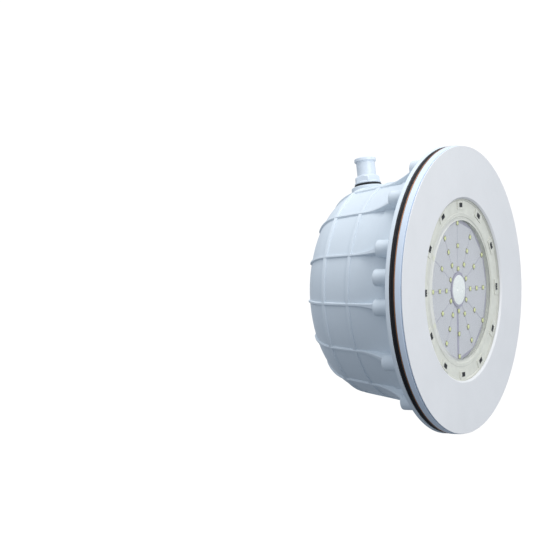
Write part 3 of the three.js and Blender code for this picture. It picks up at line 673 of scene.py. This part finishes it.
def faceplate():
    skirt_end = span("clamp_ring")[0].y - 0.15
    rear = PLATE_FRONT + PLATE_SKIN
    window = LENS_HIGH.z - 3.6
    sleeve = LENS_HIGH.z + 0.3
    sleeve_end = PLATE_HIGH.y
    plate = revolved("faceplate_moulding", rounded([
        (window, PLATE_FRONT + 1.6, 0.3),
        (window + 1.6, PLATE_FRONT, 0.5),
        (PLATE_RADIUS - 0.3, PLATE_FRONT, 0.5),
        (PLATE_RADIUS - 0.3, PLATE_FRONT + 0.7, 0.2),
        (PLATE_RADIUS - 1.5, PLATE_FRONT + 0.8, 0.1),
        (PLATE_RADIUS - 1.5, PLATE_FRONT + 1.7, 0.1),
        (PLATE_RADIUS, PLATE_FRONT + 1.9, 0.3),
        (PLATE_RADIUS, skirt_end, 0.5),
        (PLATE_RADIUS - 2.8, skirt_end, 0.5),
        (PLATE_RADIUS - 2.8, rear, 0.8),
        (sleeve + 4, rear, 0.8),
        (sleeve + 4, sleeve_end, 0.6),
        (sleeve, sleeve_end, 0.4),
        (sleeve, rear, 0.2),
        (window, rear, 0.2),
    ], 4), 288)
    clip_posts = around(pin_post(rear, sleeve_end), CLIP_CIRCLE, CLIP_ANGLES)
    pin_holders = around(pin_post(rear, skirt_end), BOSS_CIRCLE, SNAP_ANGLES)
    carve(plate, [*clip_posts, *pin_holders])
    clip_holes = around(plug(1.9, rear + 1, 0), CLIP_CIRCLE, CLIP_ANGLES)
    pin_holes = around(plug(PIN_HOLE, rear, 0), BOSS_CIRCLE, SNAP_ANGLES)
    carve(plate, [*clip_holes, *pin_holes], "DIFFERENCE")
    put(plate, "light_unit", "faceplate_plastic", WHITE_PLASTIC, "faceplate")
    # Painted shade: the side wall of the faceplate gets the bluer, slightly darker copy of its white.
    repaint(plate, SKIRT_PAINTED_SHADE, lambda radius, y: radius > PLATE_RADIUS - 1.6 and y > PLATE_FRONT + 0.75)


# ---------------------------------------------------------------- lens and its rim
def rectangle(width, height, corner):
    x, y = width / 2, height / 2
    return rounded([(-x, -y, corner), (x, -y, corner), (x, y, corner), (-x, y, corner)], 3)


def lamp_lens():
    front = LENS_LOW.y
    inner = front + 2.4
    skirt_end = LENS_HIGH.y
    edge = LENS_HIGH.z
    window = LENS_WINDOW_RADIUS
    lens = revolved("lamp_lens_clear", rounded([
        (0, front + 0.5, 0),
        (window - 2.4, front + 0.5, 0.3),
        (window - 1.2, front + 1.2, 0.3),
        (window + 0.6, front + 1.2, 0.3),
        (window + 1.4, front + 0.6, 0.3),
        (window + 4.4, front + 0.6, 0.3),
        (window + 5, front + 0.9, 0.2),
        (edge - 5.6, front + 0.9, 0.3),
        (edge - 4.6, front, 0.3),
        (edge, front, 0.5),
        (edge, skirt_end, 0.4),
        (edge - 2.4, skirt_end, 0.4),
        (edge - 2.4, inner, 0.5),
        (window + 5, inner, 0.4),
        (window + 5, skirt_end - 1.6, 0.3),
        (window + 0.4, skirt_end - 1.6, 0.3),
        (window + 0.4, inner, 0.4),
        (0, inner, 0),
    ], 3), 192)
    pad = prism("pad", rectangle(16, 8.4, 1), front + 0.2, inner - 0.8)
    carve(lens, around(pad, RIM_CIRCLE, RIM_ANGLES))
    slot = prism("slot", rectangle(*RIM_SLOT, 0.5), front - 1, inner + 1)
    carve(lens, around(slot, RIM_CIRCLE, RIM_ANGLES), "DIFFERENCE")
    put(lens, "light_unit", "lens_clear", LENS_RIM, "lamp_lens")
    repaint(lens, LENS_WINDOW, lambda radius, y: radius < window - 2.4)


def rim_clips():
    """Spring clips with three bars across the front, coloured dark as painted shade: the dark colour stands
    for the shadow in the lens's snap slots.
    """
    low, high = span("rim_clip_01")
    clip = prism("clip", rectangle(*RIM_CLIP, 0.5), low.y, high.y)
    grooves = []
    for side in (-1, 1):
        groove = prism("groove", rectangle(0.9, 5, 0.2), low.y - 1, low.y + 0.9)
        grooves.append(moved(groove, Matrix.Translation((side * 1.07 * MM, 0, 0))))
    carve(clip, grooves, "DIFFERENCE")
    for i, angle in enumerate(RIM_ANGLES):
        node = f"rim_clip_{i + 1:02d}"
        twin = moved(copy_of(clip, f"{node}_spring"), Matrix.Translation((0, 0, RIM_CIRCLE * MM)))
        # The clips' dark colour is painted shade for the shadow in the slots.
        put(turned(twin, angle), "light_unit", "dark_steel", PAINTED_SHADE_STEEL, node)
    bpy.data.objects.remove(clip)


def lamp_body():
    front = BODY_LOW.y
    rear = BODY_HIGH.y
    edge = BODY_HIGH.z
    throat = span("heat_spreader")[1].z + 0.3
    inside = throat - 6
    wall = 2.7
    back = edge / 2
    body = revolved("lamp_body_moulding", rounded([
        (0, rear - wall, 0),
        (back - 8, rear - wall, 2),
        (back - wall, rear - 7, 2),
        (inside, 12, 3),
        (inside, front + 2, 0.2),
        (throat, front + 2, 0.2),
        (throat, front, 0.3),
        (edge, front, 0.4),
        (edge, front + 3, 0.6),
        (inside + wall, front + 3, 2.5),
        (inside + wall, 12, 4),
        (back, rear - 6, 3),
        (back - 6, rear, 3),
        (0, rear, 0),
    ]), 192)
    slot = prism("slot", rectangle(*RIM_SLOT, 0.4), front - 1, front + 4)
    gland_hole = plug(8.5, rear - 6, rear + 1, 48)
    carve(body, [gland_hole, *around(slot, RIM_CIRCLE, RIM_ANGLES)], "DIFFERENCE")
    put(body, "light_unit", "lamp_plastic", LAMP_PLASTIC, "lamp_body")


# ---------------------------------------------------------------- LED board
def led_board():
    radius = BOARD_HIGH.z
    front = BOARD_LOW.y + LED_RISE
    rear = BOARD_HIGH.y
    disc = revolved("led_board_disc", rounded([
        (3.3, front, 0.1),
        (radius, front, 0.2),
        (radius, rear, 0.2),
        (3.3, rear, 0.1),
    ]), 192)
    put(disc, "light_unit", "led_board", BOARD_MASK, "led_board")
    wedges = []
    for k, angle in enumerate(SPOKES):
        following = angle + FULL_TURN / 12
        first_gap = WIDE_GAP if k == WIDE_SPOKE else SPOKE_GAP
        wedges.append(copper_wedge(angle, following, first_gap, radius * COPPER_OUTER_SHARE, front))
    put(joined("led_board_copper", wedges), "light_unit", "led_board", BOARD_COPPER)
    frames, domes = [], []
    for spoke, angle in enumerate(SPOKES):
        for share in LED_SHARES[spoke % 2]:
            shell, dome = led_package(front - COPPER_RAISED)
            for part, group in ((shell, frames), (dome, domes)):
                moved(part, Matrix.Translation((0, 0, share * radius * MM)))
                group.append(turned(part, angle))
    # The packages' dark colour is painted shade around the LEDs.
    put(joined("led_painted_shade_frames", frames), "light_unit", "led_board", LED_FRAME_PAINTED_SHADE)
    put(joined("led_phosphor_domes", domes), "light_unit", "led_board", LED_PHOSPHOR)


def copper_wedge(first, last, first_gap, outer, front):
    """A wedge of copper under solder mask between two spokes, with a straight outer edge."""
    def corner(radius, angle, inset, side):
        along = Vector((math.sin(angle), math.cos(angle)))
        across = Vector((along.y, -along.x))
        return along * radius + across * inset * side

    corners = [
        corner(COPPER_INNER, first, first_gap, 1),
        corner(outer, first, first_gap, 1),
        corner(outer, last, SPOKE_GAP, -1),
        corner(COPPER_INNER, last, SPOKE_GAP, -1),
    ]
    outline = rounded([(p.x, p.y, 0.4) for p in corners], 2)
    return prism("wedge", outline, front - COPPER_RAISED, front + 0.2)


def led_package(base):
    """A package with a round phosphor dome, lying on the board at the origin. The real package is white;
    led_board colours it dark as painted shade around the LED.
    """
    shell = prism("package", rectangle(LED_SIZE, LED_SIZE, 0.4), base - 0.62, base + 0.1)
    cup_outline = [(0, base - 1), (2.08, base - 1), (1.75, base - 0.3), (0, base - 0.3)]
    carve(shell, [revolved("cup", cup_outline, 32)], "DIFFERENCE")
    dome_outline = [
        (0, base - 0.28),
        (1.85, base - 0.28),
        (1.9, base - 0.55),
        (1.78, base - 0.75),
        (1.3, base - 0.95),
        (0, base - 1.05),
    ]
    return shell, revolved("dome", dome_outline, 32)


def centre_cap():
    low, high = span("centre_cap")
    base_front = BOARD_LOW.y + LED_RISE - CAP_FLANGE_PROUD
    base = high.z
    dome = base * CAP_DOME_SHARE
    stem = 3
    cap = revolved("centre_cap_dome", rounded([
        (0, low.y, 0),
        (dome * 0.55, low.y + 0.18, 2),
        (dome, (low.y + base_front) / 2 + 0.3, 1.2),
        (dome, base_front, 0.3),
        (base, base_front, 0.35),
        (base, base_front + 0.8, 0),
        (stem, base_front + 0.8, 0),
        (stem, high.y, 0),
        (0, high.y, 0),
    ], 5), 96)
    dimples = []
    for side in (-1, 1):
        ball = revolved("dimple", arc((0, low.y - 1.6), 2.4, -math.pi / 2, math.pi / 2, 16), 32)
        dimples.append(moved(ball, Matrix.Translation((side * 5.4 * MM, 0, 0))))
    carve(cap, dimples, "DIFFERENCE")
    put(cap, "light_unit", "frosted", FROSTED, "centre_cap")
    repaint(cap, BOARD_MASK, lambda radius, y: radius > dome + 0.1)


# ---------------------------------------------------------------- CAD nodes that keep their shape
KEPT = {
    "faceplate_pin_left": (PIN_PLASTIC, 0.3),
    "faceplate_pin_right": (PIN_PLASTIC, 0.3),
    "lens_gasket": (SILICONE, 0.1),
    "heat_spreader": (ALUMINIUM, 0.2),
    "driver_board": (CIRCUIT, 0.1),
    "driver_choke": (BLACK_PLASTIC, 0.6),
    "driver_capacitor": (ALUMINIUM, 0.6),
    "board_lead_red": (RED_LEAD, 0.1),
    "board_lead_black": (BLACK_LEAD, 0.1),
    "gland_body": (BLACK_PLASTIC, 0.3),
    "gland_washer": (BLACK_RUBBER, 0.2),
    "gland_seal": (BLACK_RUBBER, 0.2),
    "gland_nut": (BLACK_PLASTIC, 0.5),
    **{f"lamp_clip_{k}": (STEEL, 0.25) for k in range(1, 5)},
    **{f"clip_screw_{k}": (STEEL, 0.2) for k in range(1, 5)},
}


def dress_kept_nodes():
    """Rounds the edges of the CAD nodes that stay and gives them their materials."""
    for name, (material, edge) in KEPT.items():
        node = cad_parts[name]
        node.data.materials.clear()
        node.data.materials.append(material)
        weld = node.modifiers.new("weld", "WELD")
        weld.merge_threshold = 1e-6
        bevel = node.modifiers.new("edges", "BEVEL")
        bevel.width = edge * MM
        bevel.segments = 2
        bevel.limit_method = "ANGLE"
        bevel.angle_limit = math.radians(50)
        bevel.harden_normals = False


# ---------------------------------------------------------------- camera, floor and light
CAMERA_DISTANCE = 2.4
CAMERA_AZIMUTH = math.radians(65.6)  # from straight in front of the faceplate towards -X
CAMERA_ROLL = math.radians(5.2)  # the light is turned about its own axis by this much
LENS_FOCAL = 161.4
AIM_OFFSET = (0.0770, -0.0060)  # slopes of the faceplate's centre right of and above the picture's centre


def camera():
    data = bpy.data.cameras.new("camera")
    data.lens = LENS_FOCAL
    data.sensor_width = 36
    made = bpy.data.objects.new("camera", data)
    bpy.context.scene.collection.objects.link(made)
    bpy.context.scene.camera = made
    side = math.sin(CAMERA_AZIMUTH)
    back = Vector((-side * math.cos(CAMERA_ROLL), -math.cos(CAMERA_AZIMUTH), -side * math.sin(CAMERA_ROLL)))
    up = Vector((-math.sin(CAMERA_ROLL), 0, math.cos(CAMERA_ROLL)))
    right = up.cross(back).normalized()
    facing = Matrix((right, back.cross(right), back)).transposed()
    target = Vector((AIM_OFFSET[0], AIM_OFFSET[1], -1))
    aim = target.rotation_difference(Vector((0, 0, -1))).to_matrix()
    centre = Vector((0, PLATE_FRONT, 0)) * MM
    place = (facing @ aim).to_4x4()
    place.translation = centre + back * CAMERA_DISTANCE
    made.matrix_world = place


def area_light(name, place, target, size, power, colour=(1, 1, 1)):
    data = bpy.data.lights.new(name, "AREA")
    data.shape = "RECTANGLE"
    data.size, data.size_y = size
    data.energy = power
    data.color = colour
    made = bpy.data.objects.new(name, data)
    bpy.context.scene.collection.objects.link(made)
    made.location = place
    made.rotation_mode = "QUATERNION"
    made.rotation_quaternion = (Vector(target) - Vector(place)).to_track_quat("-Z", "Y")


def studio():
    """White background to the eye; for the light's own shading, bright above and blue-grey below."""
    world = bpy.data.worlds.new("studio")
    bpy.context.scene.world = world
    world.use_nodes = True
    tree = world.node_tree
    tree.nodes.clear()
    output = tree.nodes.new("ShaderNodeOutputWorld")
    mix = tree.nodes.new("ShaderNodeMixShader")
    seen = tree.nodes.new("ShaderNodeBackground")
    seen.inputs["Color"].default_value = (1, 1, 1, 1)
    seen.inputs["Strength"].default_value = 1.05
    lit = tree.nodes.new("ShaderNodeBackground")
    path = tree.nodes.new("ShaderNodeLightPath")
    place = tree.nodes.new("ShaderNodeTexCoord")
    split = tree.nodes.new("ShaderNodeSeparateXYZ")
    ramp = tree.nodes.new("ShaderNodeValToRGB")
    spread = tree.nodes.new("ShaderNodeMapRange")
    spread.inputs["From Min"].default_value = -1
    tree.links.new(place.outputs["Generated"], split.inputs["Vector"])
    tree.links.new(split.outputs["Z"], spread.inputs["Value"])
    tree.links.new(spread.outputs["Result"], ramp.inputs["Fac"])
    tree.links.new(ramp.outputs["Color"], lit.inputs["Color"])
    ramp.color_ramp.elements[0].color = (0.085, 0.11, 0.145, 1)
    ramp.color_ramp.elements[1].position = 0.75
    ramp.color_ramp.elements[1].color = (0.74, 0.79, 0.86, 1)
    tree.links.new(path.outputs["Is Camera Ray"], mix.inputs["Fac"])
    tree.links.new(lit.outputs["Background"], mix.inputs[1])
    tree.links.new(seen.outputs["Background"], mix.inputs[2])
    tree.links.new(mix.outputs["Shader"], output.inputs["Surface"])
    bpy.context.scene.view_settings.view_transform = "Standard"
    area_light("top_softbox", (-0.35, 0.1, 1.5), (0, 0.03, 0), (0.8, 0.8), 9)
    area_light("front_fill", (-0.55, -1.05, 0.5), (0, 0, 0), (0.9, 0.9), 7.8, (1, 0.99, 0.98))


def floor():
    reach = 6000
    height = -300
    signs = ((-1, -1), (1, -1), (1, 1), (-1, 1))
    corners = [(reach * x, reach * y, height) for x, y in signs]
    plane = mesh_object("floor", corners, [(0, 1, 2, 3)])
    surface = Surface("floor_white", (250, 250, 250), 0.9)
    surface.vary_colour(surface.noise(2, 2), 0.01)
    surface.shader.inputs["Emission Color"].default_value = (1, 1, 1, 1)
    surface.shader.inputs["Emission Strength"].default_value = 0.5
    plane.data.materials.append(surface.material)
    plane.visible_diffuse = False
    plane.visible_glossy = False


camera()
studio()
floor()
niche_housing()
stack_ring("rear_gasket_rubber", "rear_gasket", 0.7, "niche", "rubber", BLACK_RUBBER)
stack_ring("front_gasket_rubber", "front_gasket", 0.7, "niche", "rubber", BLACK_RUBBER)
stack_ring("clamp_ring_bronze", "clamp_ring", 0.3, "niche", "clamp_bronze", BRONZE)
clamp_screws()
conduit_spigot()
faceplate()
lamp_lens()
rim_clips()
lamp_body()
led_board()
centre_cap()
dress_kept_nodes()
